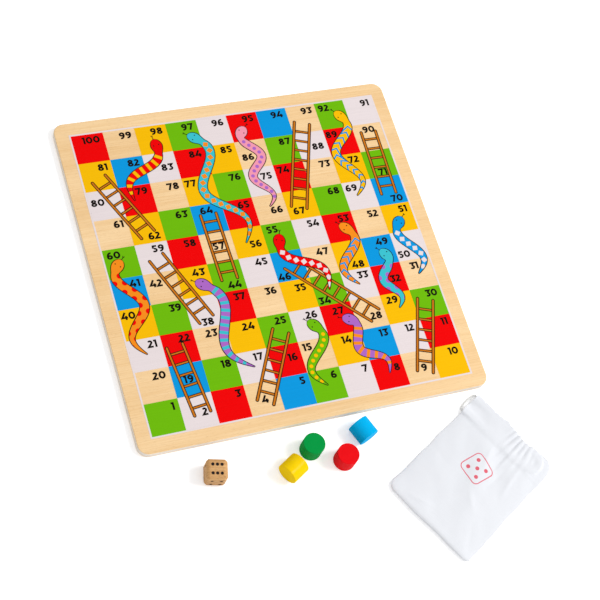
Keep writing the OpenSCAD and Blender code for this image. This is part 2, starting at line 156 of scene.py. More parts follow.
class PrintSettings(bpy.types.PropertyGroup):
    white: tint("White ink", "White squares and the line round the grid", 232, 220, 221)
    red: tint("Red ink", "Red squares", 240, 4, 6)
    yellow: tint("Yellow ink", "Yellow squares", 248, 189, 6)
    green: tint("Green ink", "Green squares", 110, 186, 12)
    blue: tint("Blue ink", "Blue squares", 12, 152, 222)
    orange: tint("Orange ink", "Orange snakes", 246, 142, 30)
    purple: tint("Purple ink", "Purple snakes", 172, 104, 196)
    pink: tint("Pink ink", "Pink snakes", 242, 154, 176)
    turquoise: tint("Turquoise ink", "Turquoise snakes", 60, 192, 205)
    brown: tint("Brown ink", "Ladders", 204, 118, 28)
    black: tint("Black ink", "Outlines and numbers", 22, 14, 10)
    columns: IntProperty(name="Columns", description="Squares along a side", default=10, min=1)
    figure: metres("Number height", "Height of a number", 0.0064)
    stroke: fraction("Number weight", "Stroke of a number, as a share of its height", 0.235)
    least_share: fraction(
        "Least gap", "Least gap beside a shifted number, as a share of a square", 0.045
    )
    clearance: FloatProperty(
        name="Clearance", description="Weight of crossed outlines in a number's place", default=4.0
    )
    stretch: FloatProperty(name="Number width", description="Stretch of a figure", default=1.07)
    spacing: fraction("Number spacing", "Gap between figures, as a share of height", 0.1)
    right_share: fraction("Right margin", "Gap right of a number, as a share of a square", 0.14)
    top_share: fraction("Top margin", "Gap above a number, as a share of a square", 0.09)
    film: metres("Number film", "Thickness of the numbers' ink", 0.00003)


class PieceSettings(bpy.types.PropertyGroup):
    beech_light: tint("Light beech", "Pale streaks of the die", 224, 178, 122)
    beech_dark: tint("Dark beech", "Darker streaks of the die", 186, 132, 78)
    grain_turn: degrees("Die's grain", "Turn of the die's grain", 14)
    pip: tint("Pip paint", "Paint in the pips", 34, 22, 20)
    green: tint("Green paint", "Green counter", 0, 152, 66)
    red: tint("Red paint", "Red counter", 238, 12, 22)
    yellow: tint("Yellow paint", "Yellow counter", 250, 210, 4)
    blue: tint("Blue paint", "Blue counter", 0, 180, 240)


class BagSettings(bpy.types.PropertyGroup):
    cotton: tint("Cotton", "Cloth of the bag", 233, 235, 240)
    cord: tint("Cord", "Drawstring", 240, 240, 238)
    thread: tint("Thread", "Stitches of the hem", 240, 242, 246)
    badge: tint("Badge", "Printed die on the bag", 222, 70, 92)
    turn: degrees("Turn", "Turn of the bag's length from the board's front edge", 30)
    cloth: metres("Cloth", "Thickness of the cotton", 0.00035)
    seam_rise: metres("Seam", "Height of the side seams above the table", 0.0011)
    bottom_rise: metres("Bottom edge", "Height of the rounded bottom edge", 0.0032)
    crown: metres("Crown", "Height of the upper cloth in the middle", 0.0032)
    corners: FloatVectorProperty(
        name="Corners", description="Radii of the corners: two at the bottom, two at the mouth",
        default=(0.007, 0.004, 0.004, 0.009), size=4, min=0.001, unit="LENGTH",
    )
    wrinkle: metres("Wrinkles", "Height of the broad wrinkles", 0.0018)
    pleat: metres("Pleats", "Depth of the gathers at the mouth", 0.0016)
    pleats: IntProperty(name="Gathers", description="Number of gathers", default=8, min=1)
    gather_at: fraction("Gathered at", "Middle of the gathers, from the near side", 0.62)
    gather_share: fraction("Gathered share", "Share of the mouth that is drawn in", 0.42)
    drawn_in: metres("Drawn in", "How far the gathers pull the mouth in", 0.003)
    cord_width: metres("Cord width", "Diameter of the drawstring", 0.0018)
    cord_out: metres("Cord out", "How far the loop stands out beside the bag", 0.0026)
    cord_inset: metres("Cord inset", "How far inside the hem the drawstring turns", 0.009)
    strands: IntProperty(name="Strands", description="Strands of the drawstring", default=3, min=2)
    lay: metres("Lay", "Length in which the strands turn once", 0.0052)
    stitch: metres("Stitch", "Length of a stitch", 0.0021)
    stitch_gap: metres("Stitch gap", "Gap between two stitches", 0.0009)
    stitch_width: metres("Thread width", "Width of a stitch", 0.0003)
    badge_width: metres("Badge width", "Side of the printed die", 0.021)
    badge_line: metres("Badge line", "Width of the printed die's outline", 0.0008)
    badge_along: fraction("Badge along", "Its middle, as a share of the bag's length", 0.56)
    badge_across: fraction("Badge across", "Its middle, as a share of half the width", 0.04)
    badge_turn: degrees("Badge turn", "Turn of the printed die", 14)
    stitch_in: metres("Stitch line", "Distance of the stitches from the hem's edge", 0.0022)


class StageSettings(bpy.types.PropertyGroup):
    eye: FloatVectorProperty(
        name="Camera", description="Place of the camera", default=(-0.37889, -0.49054, 1.06747),
        size=3, subtype="XYZ", unit="LENGTH",
    )
    lens: FloatProperty(name="Lens", description="Focal length", default=90.0, unit="CAMERA")
    sky: FloatProperty(name="Sky", description="Strength of the even light", default=0.6)
    key: FloatProperty(name="Key", description="Power of the key lamp", default=51.5, unit="POWER")
    fill: FloatProperty(name="Fill", description="Power of the weak lamp", default=4, unit="POWER")
    lamp_size: metres("Lamp size", "Side of a square lamp", 1.2)
    reach: metres("Floor", "Distance of the floor's edges from its middle", 4.0)
    paper: tint("Backdrop", "Floor of the studio", 250, 250, 251)


SETTINGS = {
    "board_wood": WoodSettings,
    "board_print": PrintSettings,
    "board_pieces": PieceSettings,
    "board_bag": BagSettings,
    "board_stage": StageSettings,
}


# Node trees


def maths(operation, swapped=False):
    """A method that adds a Math node for a term and perhaps another value."""

    def operate(term, other=0.0):
        first, second = (other, term) if swapped else (term, other)
        return term.tree.add("ShaderNodeMath", {0: first, 1: second}, operation=operation)

    return operate


class Term:
    """A number, vector or colour on a node's socket. Arithmetic on numbers adds Math nodes."""

    def __init__(self, tree, socket):
        self.tree = tree
        self.socket = socket
        self.node = socket.node

    def output(self, name):
        """Another output of the same node."""
        return Term(self.tree, self.node.outputs[name])

    __add__ = __radd__ = maths("ADD")
    __sub__ = maths("SUBTRACT")
    __rsub__ = maths("SUBTRACT", swapped=True)
    __mul__ = __rmul__ = maths("MULTIPLY")
    __truediv__ = maths("DIVIDE")
    __abs__ = maths("ABSOLUTE")
    __gt__ = maths("GREATER_THAN")
    __lt__ = maths("LESS_THAN")
    greater = maths("MAXIMUM")
    smaller = maths("MINIMUM")
    root = maths("SQRT")


class Tree:
    """Adds nodes to one node tree."""

    def __init__(self, tree):
        self.tree = tree

    def node(self, kind, sockets=None, **settings):
        """A node of a kind, with its settings first and then what its sockets take."""
        node = self.tree.nodes.new(kind)
        for name, value in settings.items():
            setattr(node, name, value)
        for name, value in (sockets or {}).items():
            self.feed(node.inputs[name], value)
        return node

    def add(self, kind, sockets=None, output=0, **settings):
        """The output of a new node."""
        return Term(self, self.node(kind, sockets, **settings).outputs[output])

    def feed(self, socket, value):
        """Links a term to a socket, or sets its value."""
        if isinstance(value, Term):
            self.tree.links.new(value.socket, socket)
        else:
            socket.default_value = value


class Finish(Tree):
    """A material: a Principled shader and the nodes that feed it."""

    def __init__(self, name, constants):
        self.material = bpy.data.materials.new(name)
        self.material.use_nodes = True
        super().__init__(self.material.node_tree)
        self.shader = self.tree.nodes["Principled BSDF"]
        self.feed_shader(constants)

    def feed_shader(self, sockets):
        for name, value in sockets.items():
            self.feed(self.shader.inputs[name], value)

    def place(self):
        """Place in the piece, in metres."""
        return self.add("ShaderNodeTexCoord", output="Object")

    def turned(self, vector, turn=0.0, location=(0, 0, 0)):
        sockets = {"Vector": vector, "Location": location, "Rotation": (0, 0, turn)}
        return self.add("ShaderNodeMapping", sockets)

    def noise(self, vector, grain, detail=2.0, roughness=0.5):
        """Noise from 0 to 1 whose grains have the given length along X, Y and Z."""
        scaled = self.add("ShaderNodeVectorMath", {0: vector, 1: grain}, operation="DIVIDE")
        sockets = {"Vector": scaled, "Scale": 1.0, "Detail": detail, "Roughness": roughness}
        return self.add("ShaderNodeTexNoise", sockets)

    def ramp(self, value, *stops):
        """A ramp between two stops, each a position and a value."""
        ramp = self.add("ShaderNodeValToRGB", {"Fac": value})
        for element, (position, level) in zip(ramp.node.color_ramp.elements, stops):
            element.position = position
            element.color = (level, level, level, 1.0)
        return ramp

    def tone(self, value, low):
        """Spreads the middle of a noise over 0 to 1; what is below low gives 0."""
        return self.ramp(value, (low, 0.0), (1 - low, 1.0))

    def mix(self, share, first, second):
        """A colour between two colours."""
        first, second = (
            colour if isinstance(colour, Term) else (*colour, 1.0) for colour in (first, second)
        )
        return self.add("ShaderNodeMix", {0: share, 6: first, 7: second}, 2, data_type="RGBA")

    def end(self, colour, roughness, relief, depth, strength=1.0):
        """The material, with its colour, roughness and a relief of a depth in metres."""
        sockets = {"Height": relief, "Distance": depth, "Strength": strength}
        normal = self.add("ShaderNodeBump", sockets)
        self.feed_shader({"Base Color": colour, "Roughness": roughness, "Normal": normal})
        return self.material


def shade(colour, share):
    """A darker copy of a colour."""
    return tuple(value * share for value in colour)


# Finishes


def grain_streaks(finish, vector, wood):
    """Fine long streaks along X, from 0 to 1."""
    grain = (wood.streak_run, wood.streak, wood.streak)
    return finish.noise(vector, grain, detail=3.0, roughness=0.6)


def birch(name, wood, light, dark, turn=0.0, edge=None):
    """Birch veneer: pale, with fine streaks, a broad soft figure and short pores.

    Where the rim's round runs down through it, from the height edge, the veneer is painted pale:
    painted light, standing in for the floor's light reflected on the rounded edge."""
    finish = Finish(name, {"Specular IOR Level": 0.12})
    vector = finish.turned(finish.place(), turn)
    streaks = grain_streaks(finish, vector, wood)
    figure = finish.noise(vector, (0.16, 0.014, 0.014))
    pores = finish.noise(vector, (0.0035, 0.0003, 0.0003), detail=1.0)
    pore_mask = finish.ramp(pores, (0.3, 1.0), (0.36, 0.0))
    colour = finish.mix(finish.tone(streaks * 0.55 + figure * 0.45, 0.32), dark, light)
    colour = finish.mix(pore_mask * 0.35, colour, shade(dark, 0.75))
    # Painted light: below the edge height the veneer is mixed towards the pale rim colour, for the
    # floor's light reflected on the rounded edge
    if edge:
        height = finish.add("ShaderNodeSeparateXYZ", {0: finish.place()}, "Z")
        depth = (edge - height) / wood.sanding + streaks * 0.6
        painted_light_mask = depth.greater(0.0).smaller(1.0)
        colour = finish.mix(painted_light_mask * 0.8, colour, wood.rim_light)
    return finish.end(
        colour, streaks * 0.16 + 0.42, relief=streaks - pore_mask * 0.6, depth=0.00005
    )


def printed(name, wood, colour):
    """A film of ink: even, with the grain of the veneer showing through a little."""
    finish = Finish(
        name, {"Specular IOR Level": 0.0, "Coat Weight": 0.07, "Coat Roughness": 0.3}
    )
    streaks = grain_streaks(finish, finish.place(), wood)
    mottle = finish.noise(finish.place(), [0.0012] * 3)
    tone = finish.tone(streaks * 0.7 + mottle * 0.3, 0.3)
    colour = finish.mix(tone, shade(colour, 0.93), colour)
    return finish.end(colour, streaks * 0.14 + 0.4, relief=streaks, depth=0.00003)


def beech(name, pieces):
    """Oiled beech: fine streaks along the die, with its short dark rays."""
    finish = Finish(name, {"Specular IOR Level": 0.15})
    vector = finish.turned(finish.place(), pieces.grain_turn)
    streaks = finish.noise(vector, (0.018, 0.0007, 0.0012), detail=3.0, roughness=0.6)
    rings = finish.noise(vector, (0.05, 0.0028, 0.009), detail=1.0)
    rays = finish.noise(vector, (0.0022, 0.00035, 0.0007), detail=1.0)
    ray_mask = finish.ramp(rays, (0.32, 1.0), (0.4, 0.0))
    tone = finish.tone(streaks * 0.6 + rings * 0.4, 0.34)
    colour = finish.mix(tone, pieces.beech_dark, pieces.beech_light)
    colour = finish.mix(ray_mask * 0.5, colour, shade(pieces.beech_dark, 0.62))
    return finish.end(
        colour, streaks * 0.15 + 0.4, relief=streaks - ray_mask * 0.7, depth=0.00006
    )


def paint(name, colour, axis):
    """Satin paint on turned wood: the grain lifts it a little along the counter's axis."""
    finish = Finish(name, {"Specular IOR Level": 0.0, "Coat Roughness": 0.2})
    long_grain = [0.0009] * 3
    long_grain[axis] = 0.014
    streaks = finish.noise(finish.place(), long_grain, detail=3.0, roughness=0.6)
    brush = finish.noise(finish.place(), [0.006] * 3, detail=3.0)
    tone = finish.tone(streaks * 0.5 + brush * 0.5, 0.3)
    colour = finish.mix(tone, shade(colour, 0.9), colour)
    finish.feed_shader({"Coat Weight": brush * 0.08 + 0.08})
    return finish.end(colour, brush * 0.16 + 0.3, relief=streaks + brush, depth=0.00005)


def pip_paint(name, colour):
    """Dark paint in the drilled pips, with a fine speckle."""
    finish = Finish(name, {"Specular IOR Level": 0.15})
    speckle = finish.noise(finish.place(), [0.0004] * 3)
    colour = finish.mix(speckle, shade(colour, 0.7), colour)
    return finish.end(colour, speckle * 0.2 + 0.35, relief=speckle, depth=0.00004)


def badge_mask(across, along, bag):
    """The printed die: a rounded outline with five dots, one where it is printed."""
    half = bag.badge_width / 2
    corner, dot, spread = half * 0.36, half * 0.16, half * 0.5
    straight = half - corner
    side_x = (abs(across) - straight).greater(0.0)
    side_y = (abs(along) - straight).greater(0.0)
    away = (side_x * side_x + side_y * side_y).root()
    inner = abs(across).greater(abs(along)) < straight
    mask = (abs(away - corner) < bag.badge_line / 2) * (1 - inner)
    for x, y in ((0, 0), (-1, -1), (-1, 1), (1, -1), (1, 1)):
        off_x, off_y = across - x * spread, along - y * spread
        mask = mask.greater((off_x * off_x + off_y * off_y) < dot * dot)
    return mask


def cotton(name, bag, badge):
    """Plain-woven cotton with slubs, and the badge printed on the front."""
    finish = Finish(name, {
        "Specular IOR Level": 0.2, "Sheen Weight": 0.25, "Sheen Roughness": 0.5,
    })
    cloth = finish.add("ShaderNodeUVMap", uv_map="cloth")
    thread, slub = 0.0006, 0.012
    # A wave's bands repeat every pi / (10 x scale)
    bands = {"Vector": cloth, "Scale": math.pi / (10 * thread), "Distortion": 0.4}
    warp, weft = (
        finish.add("ShaderNodeTexWave", bands, "Fac", wave_type="BANDS", bands_direction=axis)
        for axis in ("X", "Y")
    )
    weave = warp * weft + (1 - warp) * (1 - weft)
    slubs = finish.noise(cloth, (slub, thread, 1.0))
    cross_slubs = finish.noise(cloth, (thread, slub, 1.0))
    shadow = finish.noise(cloth, (0.02, 0.02, 1.0), detail=3.0)
    tone = slubs * 0.3 + cross_slubs * 0.3 + weave * 0.15 + shadow * 0.25
    colour = finish.mix(tone, shade(bag.cotton, 0.93), bag.cotton)
    centred = finish.turned(finish.turned(cloth, location=-badge), bag.badge_turn)
    parts = finish.add("ShaderNodeSeparateXYZ", {0: centred})
    mask = badge_mask(parts.output("X"), parts.output("Y"), bag)
    colour = finish.mix(mask * 0.92, colour, bag.badge)
    relief = weave * 0.6 + slubs + cross_slubs
    return finish.end(colour, slubs * 0.15 + 0.78, relief, depth=0.00012, strength=0.7)


def spun(name, colour):
    """Cotton cord or thread: fine fibres along the twist."""
    finish = Finish(name, {
        "Specular IOR Level": 0.2, "Sheen Weight": 0.3, "Sheen Roughness": 0.5,
    })
    fibres = finish.noise(finish.place(), (0.0009, 0.00025, 0.00025), detail=3.0, roughness=0.7)
    colour = finish.mix(fibres, shade(colour, 0.86), colour)
    return finish.end(colour, fibres * 0.2 + 0.7, relief=fibres, depth=0.0001)


def give(node, material):
    """Gives a CAD node its material."""
    slots = frame["nodes"][node].data.materials
    slots.clear()
    slots.append(material)


# Geometry trees


class Generator(Tree):
    """A geometry tree with named inputs, used once as a modifier."""

    def __init__(self, name, **inputs):
        super().__init__(bpy.data.node_groups.new(name, "GeometryNodeTree"))
        inputs = {"Geometry": "Geometry", **inputs, "Material": "Material"}
        self.identifiers = {
            label: self.new_socket(label, "INPUT", kind).identifier
            for label, kind in inputs.items()
        }
        self.new_socket("Geometry", "OUTPUT", "Geometry")
        self.entry = self.node("NodeGroupInput")

    def new_socket(self, label, way, kind):
        return self.tree.interface.new_socket(
            name=label, in_out=way, socket_type=f"NodeSocket{kind}"
        )

    def input(self, label):
        return Term(self, self.entry.outputs[label])

    def end(self, geometry):
        """Closes the tree with real geometry in its material."""
        real = self.add("GeometryNodeRealizeInstances", {"Geometry": geometry})
        sockets = {"Geometry": real, "Material": self.input("Material")}
        self.node("NodeGroupOutput", {"Geometry": self.add("GeometryNodeSetMaterial", sockets)})

    def run(self, name, source, values):
        """The tree's result on a source object, as a plain mesh object; the source is removed."""
        modifier = source.modifiers.new(name, "NODES")
        modifier.node_group = self.tree
        for label, value in values.items():
            modifier[self.identifiers[label]] = value
        source.data.update_tag()
        bpy.context.view_layer.update()
        depsgraph = bpy.context.evaluated_depsgraph_get()
        mesh = bpy.data.meshes.new_from_object(source.evaluated_get(depsgraph))
        mesh.name = name
        if not mesh.polygons:
            raise RuntimeError(f"{name} came out empty")
        bpy.data.objects.remove(source)
        return linked(name, mesh)


def linked(name, data):
    """A new object in the scene."""
    thing = bpy.data.objects.new(name, data)
    bpy.context.scene.collection.objects.link(thing)
    return thing


def mesh_data(name, mesh):
    """Plain mesh data of a bmesh, its normals outwards."""
    bmesh.ops.recalc_face_normals(mesh, faces=mesh.faces[:])
    data = bpy.data.meshes.new(name)
    mesh.to_mesh(data)
    mesh.free()
    return data


def bridge(mesh, rings):
    """Joins rings of as many points each by smooth faces; each is given with its step."""
    count = len(rings[0])
    faces = []
    for below, above in zip(rings, rings[1:]):
        for step in range(count):
            after = (step + 1) % count
            face = mesh.faces.new((below[step], above[step], above[after], below[after]))
            face.smooth = True
            faces.append((step, face))
    return faces


# Numbers


def figure_strokes(half):
    """Width and centre-lines of the figures 0 to 9, one unit high, for strokes of a half width."""

    def arc(x, y, wide, high, start=0, end=360, steps=22):
        """Part of a ring with the given outer radii, between two angles in degrees."""
        angles = [math.radians(start + (end - start) * i / steps) for i in range(steps + 1)]
        wide, high = wide - half, high - half
        return [(x + wide * math.cos(angle), y + high * math.sin(angle)) for angle in angles]

    top = 1 - half
    six = [arc(0.44, 0.38, 0.44, 0.62, 192, 72, 9), arc(0.35, 0.31, 0.35, 0.31)]
    nine = [[(0.7 - x, 1 - y) for x, y in line] for line in six]
    return [
        (0.8, [arc(0.4, 0.5, 0.4, 0.5, steps=26)]),
        (0.36, [[(0.0, top), (0.36, top)], [(0.36 - half, 0.0), (0.36 - half, 1.0)]]),
        (0.63, [arc(0.3, 0.7, 0.3, 0.3, 155, -38, 10) + [(0.08, half), (0.63, half)]]),
        (0.64, [
            [(0.04, top), (0.57, top), (0.3, 0.54)], arc(0.3, 0.31, 0.34, 0.31, 92, -146, 14),
        ]),
        (0.76, [[(0.5, 1.0), (0.1, 0.29), (0.76, 0.29)], [(0.56, 0.0), (0.56, 0.54)]]),
        (0.65, [
            [(0.6, top), (0.17, top), (0.14, 0.55)], arc(0.3, 0.32, 0.35, 0.32, 112, -146, 14),
        ]),
        (0.7, six),
        (0.68, [[(0.0, top), (0.57, top), (0.26, 0.0)]]),
        (0.71, [
            arc(0.355, 0.73, 0.32, 0.27, steps=18), arc(0.355, 0.29, 0.355, 0.29, steps=20),
        ]),
        (0.7, nine),
    ]


def stroke_quads(line, half):
    """The four-cornered pieces of a stroke along a line, with mitred joints."""
    least_cosine = 0.45  # Keeps a sharp joint's mitre short
    points = [Vector(point) for point in line]
    closed = (points[0] - points[-1]).length < half / 10
    if closed:
        points.pop()
    legs = [(b - a).normalized() for a, b in zip(points, points[1:] + points[:1])]
    if not closed:
        legs[-1] = legs[-2]
    sides = []
    for i, point in enumerate(points):
        before = legs[i - 1] if i > 0 or closed else legs[0]
        along = (before + legs[i]).normalized()
        mitre = half / max(along.dot(before), least_cosine)
        out = Vector((-along.y, along.x)) * mitre
        sides.append((point + out, point - out))
    ends = sides[1:] + sides[:1] if closed else sides[1:]
    return [(a[0], a[1], b[1], b[0]) for a, b in zip(sides, ends)]


def figure_shape(name, lines, half, thickness):
    """A flat figure of joined strokes, as thick as a film of ink."""
    corners = [corner for line in lines for quad in stroke_quads(line, half) for corner in quad]
    quads = [list(range(first, first + 4)) for first in range(0, len(corners), 4)]
    hull, nearest = 0, 1e-6
    points, _, faces, _, _, sources = delaunay_2d_cdt(corners, [], quads, hull, nearest)
    mesh = bmesh.new()
    verts = [mesh.verts.new((point.x, point.y, 0)) for point in points]
    for face, source in zip(faces, sources):
        if source:
            mesh.faces.new([verts[i] for i in face])
    bmesh.ops.dissolve_limit(
        mesh, angle_limit=math.radians(1), verts=mesh.verts[:], edges=mesh.edges[:]
    )
    raised = bmesh.ops.extrude_face_region(mesh, geom=mesh.faces[:], use_keep_orig=True)
    lifted = [item for item in raised["geom"] if isinstance(item, bmesh.types.BMVert)]
    bmesh.ops.translate(mesh, vec=(0, 0, thickness), verts=lifted)
    return mesh_data(name, mesh)


def square_corner(number, columns, cell, low):
    """Upper right corner of a numbered square. The rows run to and fro from the front."""
    row, step = divmod(number - 1, columns)
    column = step if row % 2 == 0 else columns - 1 - step
    return Vector((low.x + (column + 1) * cell, low.y + (row + 1) * cell))


class LineMap:
    """Where the printed outlines lie, in a raster over the squares with a step in metres."""

    step = 0.0005

    def __init__(self, lines, low, high):
        corners = [vertex.co for vertex in lines.data.vertices]
        tree = BVHTree.FromPolygons(corners, [face.vertices[:] for face in lines.data.polygons])
        down = Vector((0.0, 0.0, -1.0))
        self.low = low
        columns, rows = (int((high[axis] - low[axis]) / self.step) for axis in (0, 1))
        struck = numpy.zeros((rows + 1, columns + 1))
        for row in range(rows):
            for column in range(columns):
                spot = Vector((
                    low.x + (column + 0.5) * self.step, low.y + (row + 0.5) * self.step,
                    high.z + self.step,
                ))
                hit = tree.ray_cast(spot, down, 2 * self.step)[0]
                struck[row + 1, column + 1] = hit is not None
        self.sums = struck.cumsum(0).cumsum(1)

    def length_in(self, left, bottom, width, height):
        """Spots of outline inside a rectangle with a narrow margin, as a length."""
        left, right, bottom, top = (
            round((value - self.low[axis]) / self.step)
            for value, axis in (
                (left - self.step, 0), (left + width + self.step, 0),
                (bottom - self.step, 1), (bottom + height + self.step, 1),
            )
        )
        spots = self.sums[top, right] - self.sums[bottom, right]
        spots -= self.sums[top, left] - self.sums[bottom, left]
        return spots * self.step


def number_places(sizes, cell, low, widths, outlines):
    """Place and value of every figure. A number stands in the upper right of its square,
    or as near to it as the outlines of the snakes and ladders let it."""
    places = []
    right, above = sizes.right_share * cell, sizes.top_share * cell
    gap = sizes.spacing * sizes.figure
    least = sizes.least_share * cell
    shares = [step / 20 for step in range(21)]  # How far a number may be shifted
    for number in range(1, sizes.columns ** 2 + 1):
        corner = square_corner(number, sizes.columns, cell, low)
        digits = [int(digit) for digit in str(number)]
        steps = [widths[digit] * sizes.figure * sizes.stretch + gap for digit in digits]
        width = sum(steps) - gap
        x = corner.x - right - width
        y = corner.y - above - sizes.figure
        room_x = x - (corner.x - cell) - least
        room_y = y - (corner.y - cell) - least
        shifts = [(room_x * across, room_y * down) for across in shares for down in shares]
        costs = [
            outlines.length_in(x - left, y - down, width, sizes.figure) * sizes.clearance
            + math.hypot(left, down)
            for left, down in shifts
        ]
        left, down = shifts[costs.index(min(costs))]
        x -= left
        for digit, step in zip(digits, steps):
            places.append(((x, y - down), digit))
            x += step
    return places


def number_tree():
    """Puts the figure that each point names on it."""
    tree = Generator("Numbers", Figures="Collection", Height="Float", Width="Float")
    figures = tree.add("GeometryNodeCollectionInfo", {
        "Collection": tree.input("Figures"), "Separate Children": True, "Reset Children": True,
    })
    digit = tree.add("GeometryNodeInputNamedAttribute", {"Name": "digit"}, data_type="INT")
    size = tree.add("ShaderNodeCombineXYZ", {
        "X": tree.input("Width"), "Y": tree.input("Height"), "Z": 1.0,
    })
    tree.end(tree.add("GeometryNodeInstanceOnPoints", {
        "Points": tree.input("Geometry"), "Instance": figures, "Pick Instance": True,
        "Instance Index": digit, "Scale": size,
    }))
    return tree


# Bag


class BagForm:
    """The bag laid flat, by formula. Its own X runs from the bottom seam to the mouth.

    A place across it is a share of its half width: 1 at the side near the board, where the
    drawstring's loop is, and -1 at the other side."""

    def __init__(self, bag):
        self.bag = bag
        turn = Matrix.Rotation(bag.turn, 4, "Z")
        back, hem = (self.turned_box(node, turn.inverted()) for node in ("bag_back", "bag_hem"))
        self.length = hem[1].x - back[0].x
        self.half_width = (hem[1].y - hem[0].y) / 2
        self.hem = hem[1].x - hem[0].x
        middle = Vector((back[0].x, (hem[0].y + hem[1].y) / 2, 0))
        self.place = turn @ Matrix.Translation(middle)
        self.gather_middle = 1 - 2 * bag.gather_at
        # The drawstring's two runs, on both sides of the hem's middle, and where they turn
        self.cord_middle = self.length - self.hem / 2
        self.cord_spread = self.hem / 2 - (bag.cord_width / 2 + bag.cloth * 3)
        self.cord_turn_y = -(self.half_width - bag.cord_inset - self.cord_spread)

    def turned_box(self, node, turn):
        """Two corners of a CAD node's box in the bag's own directions."""
        points = [turn @ vertex.co for vertex in frame["nodes"][node].data.vertices]
        return Vector(map(min, zip(*points))), Vector(map(max, zip(*points)))

    # Seen from above

    def gather(self, across):
        """How strongly the cloth is drawn in at a place across the mouth."""
        return hump((across - self.gather_middle) / (self.bag.gather_share * 1.15))

    def pleat_phase(self, x, across):
        """Angle of the gathers' wave; they fan out into the cloth."""
        bag, fan_length = self.bag, 0.06
        fan = 1 + (self.length - x) / fan_length
        uneven = 0.35 * ripple(across * 5, 3.1, 6.2)
        offset = (across - self.gather_middle) / (2 * bag.gather_share * fan)
        return 2 * math.pi * (bag.pleats * offset + uneven)

    def pleat_fade(self, x, across):
        """How strong the gathers' wave is at a place: each fold has its own depth and length."""
        depth = 0.8 + 0.9 * ripple(across * 6, 2.2, 7.7)
        reach = 0.024 + 0.02 * ripple(across * 9, 5.5, 1.2)
        inward = max(0.0, self.length - x) / reach
        return self.gather(across) * depth * math.exp(-inward ** 1.4)

    def near_mouth(self, x, reach=0.02):
        """1 at the mouth, and less the further it is."""
        return math.exp(-max(0.0, self.length - x) / reach)

    def drawn(self, x, across):
        """How far a place is drawn towards the bottom: by the gathers, and beside the loop."""
        loop_pull, loop_at, loop_reach = 0.3, 0.5, 0.4
        pull = self.gather(across) + loop_pull * hump((across - loop_at) / loop_reach)
        uneven = 0.0009 * ripple(across * 11, 6.4, 2.0)
        return self.near_mouth(x) * (pull * self.bag.drawn_in - uneven)

    def plan(self, x, across):
        """Place of a point of the cloth, seen from above."""
        wave, bottom_wave, pleat_wave = 0.0009, 0.0008, 0.0008
        share = x / self.length
        waist, waist_at, waist_reach = 0.012, 0.55, 0.6
        pinch = 0.014 * self.near_mouth(x) + waist * hump((share - waist_at) / waist_reach)
        side = self.half_width * (1 - pinch) + ripple(x * 70, across * 0.8, 4.1) * wave
        x, y = self.round_corner(x, across * side)
        x -= self.drawn(x, across)
        x += (1 - share) ** 8 * ripple(across * 1.7, 0.4, 9.0) * bottom_wave
        y += self.pleat_fade(x, across) * math.sin(self.pleat_phase(x, across)) * pleat_wave
        return x, y

    def round_corner(self, x, y):
        """Rounds the four corners by pressing each corner's square into a quarter disc."""
        way = -1 if x < self.length / 2 else 1
        radius = self.bag.corners[1 + way + (y <= 0)]
        end = radius if way < 0 else self.length - radius
        side = self.half_width - radius
        along, aside = (x - end) * way / radius, (abs(y) - side) / radius
        if along <= 0 or aside <= 0:
            return x, y
        along, aside = min(along, 1.0), min(aside, 1.0)
        along, aside = (
            along * math.sqrt(1 - aside ** 2 / 2), aside * math.sqrt(1 - along ** 2 / 2)
        )
        return end + way * along * radius, math.copysign(side + aside * radius, y)

    # Heights

    def rounded(self, across):
        """How far the cloth has risen from a side seam, from 0 to 1."""
        return (1 - min(1.0, abs(across)) ** 2.6) ** 0.6

    def roll(self, x):
        """The round of the bottom edge, from 0 at the edge to 1."""
        inward = 1 - min(1.0, x / self.bag.bottom_rise)
        return math.sqrt(1 - inward ** 2)

    def bottom_lift(self, x, across):
        """How far the bottom edge stands off the table."""
        reach = 0.011
        ends = 1 - 0.45 * abs(across) ** 4
        uneven = 1 + 0.25 * ripple(across * 2.5, 8.1, 0.3)
        return self.bag.bottom_rise / 2 * math.exp(-((x / reach) ** 1.5)) * ends * uneven

    def seam_height(self, x, across):
        return self.bag.seam_rise + self.bottom_lift(x, across)

    def creases(self, x, y, bend=2.5):
        """Soft ridges and hollows left by folding, each a little bent."""
        height = 0.0
        for at_x, at_y, angle, length, rise, width in CREASES:
            turn = math.radians(angle)
            dx, dy = x - at_x, y - at_y
            along = dx * math.cos(turn) + dy * math.sin(turn)
            aside = dy * math.cos(turn) - dx * math.sin(turn) + along * along * bend
            height += rise * hump(along / length * 2) / (1 + (aside / width) ** 2)
        return height

    def wrinkles(self, x, y):
        """Broad soft folds that run from the gathers to the opposite corner, and finer ones."""
        run_x, run_y = 0.82, 0.57
        along = run_x * x + run_y * y
        over = run_x * y - run_y * x
        broad = ripple(along / 0.06, over / 0.022, 3.3)
        middling = ripple(along / 0.034, over / 0.013, 8.8)
        fine = ripple(along / 0.014, over / 0.008, 1.7)
        towards_mouth = 0.55 + 0.45 * min(1.0, x / self.length)
        return broad * 0.7 + (middling * 0.4 + fine * 0.14) * towards_mouth

    def cord_distance(self, x, y):
        """Distance from the drawstring in the flat cloth. Between its two runs it counts less."""
        between = 0.4
        beyond = self.cord_turn_y - y
        offset = x - self.cord_middle
        reach = abs(offset) if beyond < 0 else math.hypot(offset, beyond)
        return max(reach - self.cord_spread, (self.cord_spread - reach) * between)

    def over_cord(self, x, across):
        """How far the cloth is raised over the drawstring, from 0 to 1."""
        flat, slope = self.bag.cord_width * 0.4, self.bag.cord_width * 2.2
        distance = self.cord_distance(x, across * self.half_width)
        return hump(max(0.0, distance - flat) / slope)

    def upper_height(self, x, across, plan, low):
        """Height of the upper cloth over the height of the lower one."""
